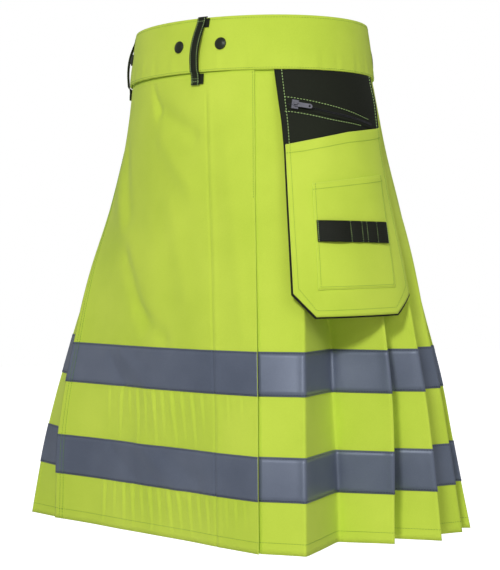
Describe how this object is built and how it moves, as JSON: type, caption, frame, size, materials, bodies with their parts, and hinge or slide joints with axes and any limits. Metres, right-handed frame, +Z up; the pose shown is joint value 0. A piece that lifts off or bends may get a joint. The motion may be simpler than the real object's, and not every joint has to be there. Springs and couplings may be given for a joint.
{
  "type": "utility kilt",
  "caption": "Knee-length pleated high-visibility work kilt with wrap front, reflective tape and zipped hip pockets, shaped as worn.",
  "frame": {"origin": "centre of the waistband's ring at half its height", "axes": "+Z up along the body, wearer faces -Y, +X is the wearer's left"},
  "size_m": [0.5317, 0.4284, 0.6097],
  "materials": {
    "hi_vis_cloth": "matte fluorescent woven twill",
    "reflective_tape": "retroreflective coated tape",
    "black_canvas": "matte woven canvas",
    "black_elastic": "ribbed elastic webbing",
    "zip_coil": "black nylon coil",
    "zip_metal": "plated zinc",
    "snap_metal": "black enamelled cap"
  },
  "bodies": {
    "kilt": {"waistband": "hi_vis_cloth", "outer_apron": "hi_vis_cloth", "under_apron": "hi_vis_cloth", "pleats_left": "hi_vis_cloth", "pleats_right": "hi_vis_cloth", "tape_apron_upper": "reflective_tape", "tape_apron_lower": "reflective_tape", "tape_left_upper": "reflective_tape", "tape_left_lower": "reflective_tape", "tape_right_upper": "reflective_tape", "tape_right_lower": "reflective_tape", "belt_loop_front_left": "black_canvas", "belt_loop_front_right": "black_canvas", "belt_loop_back_left": "black_canvas", "belt_loop_back": "black_canvas", "belt_loop_back_right": "black_canvas", "snap_a": "snap_metal", "snap_b": "snap_metal", "snap_c": "snap_metal", "snap_d": "snap_metal", "pocket_backing_left": "black_canvas", "pocket_front_left": "hi_vis_cloth", "patch_pocket_left": "hi_vis_cloth", "tool_loops_left": "black_elastic", "zip_left": "zip_coil", "zip_slider_left": "zip_metal", "pocket_backing_right": "black_canvas", "pocket_front_right": "hi_vis_cloth", "patch_pocket_right": "hi_vis_cloth", "tool_loops_right": "black_elastic", "zip_right": "zip_coil", "zip_slider_right": "zip_metal"},
    "pull_left": {"zip_pull_left": "zip_metal"},
    "pull_right": {"zip_pull_right": "zip_metal"}
  },
  "joints": [
    {"name": "pull_left_hinge", "type": "hinge", "parent": "kilt", "child": "pull_left", "pos_m": [0.17448, -0.06266, -0.0736], "axis": [0.1009, -0.2235, -0.9695], "range_deg": [0, 150]},
    {"name": "pull_right_hinge", "type": "hinge", "parent": "kilt", "child": "pull_right", "pos_m": [-0.18555, -0.03726, -0.07358], "axis": [0.1486, 0.2027, 0.9679], "range_deg": [0, 150]}
  ]
}
